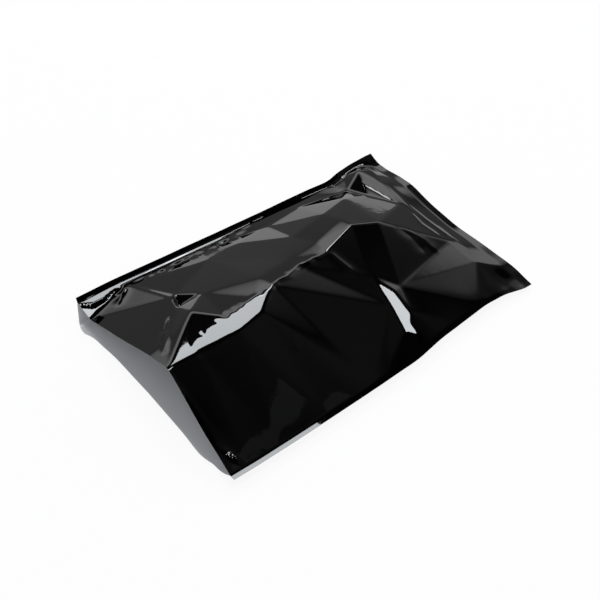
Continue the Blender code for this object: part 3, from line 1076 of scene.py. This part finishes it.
@dataclass
class Studio:
    """Floor, lamps, surroundings and camera.

    Args:
        floor_reach: Half of the floor's side, in metres.
        floor_drop: How far the floor lies under the bag, in metres.
        floor_colour: Colour of the floor.
        floor_roughness: Roughness of the floor.
        floor_white: Share of plain white in the floor that is seen or mirrored.
        ambient: Strength of the light from all around.
        sensor: Width of the camera's sensor, in millimetres.
    """

    floor_reach: float = 4.0
    floor_drop: float = 0.0002
    floor_colour: tuple[float, float, float, float] = (0.88, 0.88, 0.88, 1.0)
    floor_roughness: float = 0.9
    floor_white: float = 0.9
    ambient: float = 0.65
    sensor: float = 36.0

    def build(self) -> None:
        """Make all of the studio."""
        self._floor()
        self._world()
        for softbox in SOFTBOXES:
            self._lamp(softbox)
        self._camera()
        bpy.context.scene.view_settings.view_transform = "Standard"

    def _floor(self) -> None:
        """Lay a pale floor that is white to the eye and keeps the bag's shadow."""
        mesh = bpy.data.meshes.new("floor")
        ways = ((-1.0, -1.0), (1.0, -1.0), (1.0, 1.0), (-1.0, 1.0))
        corners = [(self.floor_reach * x, self.floor_reach * y, 0.0) for x, y in ways]
        mesh.from_pydata(corners, [], [(0, 1, 2, 3)])
        floor = bpy.data.objects.new("floor", mesh)
        bpy.context.scene.collection.objects.link(floor)
        material = bpy.data.materials.new("pale_floor")
        material.use_nodes = True
        nodes, links = material.node_tree.nodes, material.node_tree.links
        shader = nodes["Principled BSDF"]
        shader.inputs["Base Color"].default_value = self.floor_colour
        shader.inputs["Roughness"].default_value = self.floor_roughness
        white = nodes.new("ShaderNodeEmission")
        white.inputs["Strength"].default_value = 1.0
        path = nodes.new("ShaderNodeLightPath")
        seen = nodes.new("ShaderNodeMath")
        seen.operation = "MAXIMUM"
        share = nodes.new("ShaderNodeMath")
        share.operation = "MULTIPLY"
        share.inputs[1].default_value = self.floor_white
        mix = nodes.new("ShaderNodeMixShader")
        links.new(path.outputs["Is Camera Ray"], seen.inputs[0])
        links.new(path.outputs["Is Glossy Ray"], seen.inputs[1])
        links.new(seen.outputs[0], share.inputs[0])
        links.new(share.outputs[0], mix.inputs["Fac"])
        links.new(shader.outputs["BSDF"], mix.inputs[1])
        links.new(white.outputs["Emission"], mix.inputs[2])
        links.new(mix.outputs["Shader"], nodes["Material Output"].inputs["Surface"])
        mesh.materials.append(material)
        floor.location.z = -self.floor_drop

    def _world(self) -> None:
        """Put up surroundings that are white to the eye and hold the backdrop for reflections."""
        world = bpy.data.worlds.new("studio")
        bpy.context.scene.world = world
        world.use_nodes = True
        tree = world.node_tree
        nodes, links = tree.nodes, tree.links
        nodes.clear()
        reflected = nodes.new("ShaderNodeBackground")
        reflected.inputs["Strength"].default_value = BACKDROP_LEVEL
        links.new(self._backdrop(tree), reflected.inputs["Color"])
        white = plain_light(tree, 1.0)
        ambient = plain_light(tree, self.ambient)
        path = nodes.new("ShaderNodeLightPath")
        first = nodes.new("ShaderNodeMixShader")
        second = nodes.new("ShaderNodeMixShader")
        output = nodes.new("ShaderNodeOutputWorld")
        links.new(path.outputs["Is Glossy Ray"], first.inputs["Fac"])
        links.new(ambient.outputs["Background"], first.inputs[1])
        links.new(reflected.outputs["Background"], first.inputs[2])
        links.new(path.outputs["Is Camera Ray"], second.inputs["Fac"])
        links.new(first.outputs["Shader"], second.inputs[1])
        links.new(white.outputs["Background"], second.inputs[2])
        links.new(second.outputs["Shader"], output.inputs["Surface"])

    @staticmethod
    def _backdrop(tree: bpy.types.NodeTree) -> bpy.types.NodeSocket:
        """Make the reflected backdrop: a pale band over the horizon behind the bag, and dim glows.

        Args:
            tree: Node tree of the world.

        Returns:
            Socket that gives the backdrop's colour.
        """
        nodes, links = tree.nodes, tree.links
        place = nodes.new("ShaderNodeTexCoord")
        split = nodes.new("ShaderNodeSeparateXYZ")
        links.new(place.outputs["Generated"], split.inputs["Vector"])
        # Depth from -1 to 1 as a share from 0 to 1
        depth = nodes.new("ShaderNodeMath")
        depth.operation = "MULTIPLY_ADD"
        depth.inputs[1].default_value = 0.5
        depth.inputs[2].default_value = 0.5
        links.new(split.outputs["Y"], depth.inputs[0])
        band = grey_ramp(tree, split.outputs["Z"], BACKDROP_BY_HEIGHT)
        behind = grey_ramp(tree, depth.outputs[0], BACKDROP_BY_DEPTH)
        colour = mixed(tree, "MULTIPLY", band, behind)
        for towards, stops in GLOWS:
            near = nodes.new("ShaderNodeVectorMath")
            near.operation = "DOT_PRODUCT"
            near.inputs[1].default_value = Vector(towards).normalized()
            links.new(place.outputs["Generated"], near.inputs[0])
            colour = mixed(tree, "ADD", colour, grey_ramp(tree, near.outputs["Value"], stops))
        return colour

    @staticmethod
    def _lamp(softbox: Softbox) -> None:
        """Hang one lamp.

        Args:
            softbox: The lamp.
        """
        light = bpy.data.lights.new(softbox.name, "AREA")
        light.shape = "RECTANGLE"
        light.size = softbox.width
        light.size_y = softbox.height
        light.energy = math.pi * softbox.width * softbox.height * softbox.radiance
        light.color = LAMP_TINT
        lamp = bpy.data.objects.new(softbox.name, light)
        away = Vector(softbox.direction).normalized()
        lamp.location = away * softbox.distance
        lamp.rotation_mode = "QUATERNION"
        lamp.rotation_quaternion = away.to_track_quat("Z", "Y")
        lamp.visible_camera = False
        bpy.context.scene.collection.objects.link(lamp)

    def _camera(self) -> None:
        """Stand the camera where the photograph was taken from."""
        data = bpy.data.cameras.new("camera")
        data.sensor_width = self.sensor
        data.lens = CAMERA_LENS
        camera = bpy.data.objects.new("camera", data)
        back = Vector(CAMERA_BACK).normalized()
        camera.location = (Vector(CAMERA_TARGET) + back * CAMERA_DISTANCE) * MILLIMETRE
        camera.rotation_mode = "QUATERNION"
        camera.rotation_quaternion = back.to_track_quat("Z", "Y")
        bpy.context.scene.collection.objects.link(camera)
        bpy.context.scene.camera = camera


def fit_to_box(pieces: Sequence[bpy.types.Object], low: Vector, high: Vector) -> None:
    """Set the pieces to the CAD model's box, by the upper film's plan and the table.

    Args:
        pieces: The films, the upper one first.
        low: The box's lowest corner.
        high: The box's highest corner.
    """
    tables = []
    for piece in pieces:
        table = np.empty(len(piece.data.vertices) * 3)
        piece.data.vertices.foreach_get("co", table)
        tables.append(table.reshape(-1, 3))
    least, most = tables[0].min(axis=0), tables[0].max(axis=0)
    least[2] = 0.0
    scale = (np.array(high) - np.array(low)) / (most - least)
    LOG.info("fit %s mm, scale %s", np.round((most - least) / MILLIMETRE, 1), np.round(scale, 4))
    for piece, table in zip(pieces, tables):
        placed = np.array(low) + (table - least) * scale
        piece.data.vertices.foreach_set("co", placed.ravel())
        piece.data.update()


def main() -> None:
    """Build the scene."""
    logging.basicConfig(level=logging.INFO)
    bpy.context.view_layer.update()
    Studio().build()
    materials = FilmMaterials()
    finishes = {Side.OUTSIDE: materials.make(BLACK), Side.INSIDE: materials.make(SILVER)}
    pieces = Pouch().build(finishes)
    fit_to_box(pieces, *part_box(CAD_NODE))
    for piece in pieces:
        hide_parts(CAD_NODE)
        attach(piece, "root")
        LOG.info("%s: %d faces", piece.name, len(piece.data.polygons))


if __name__ == "__main__":
    main()
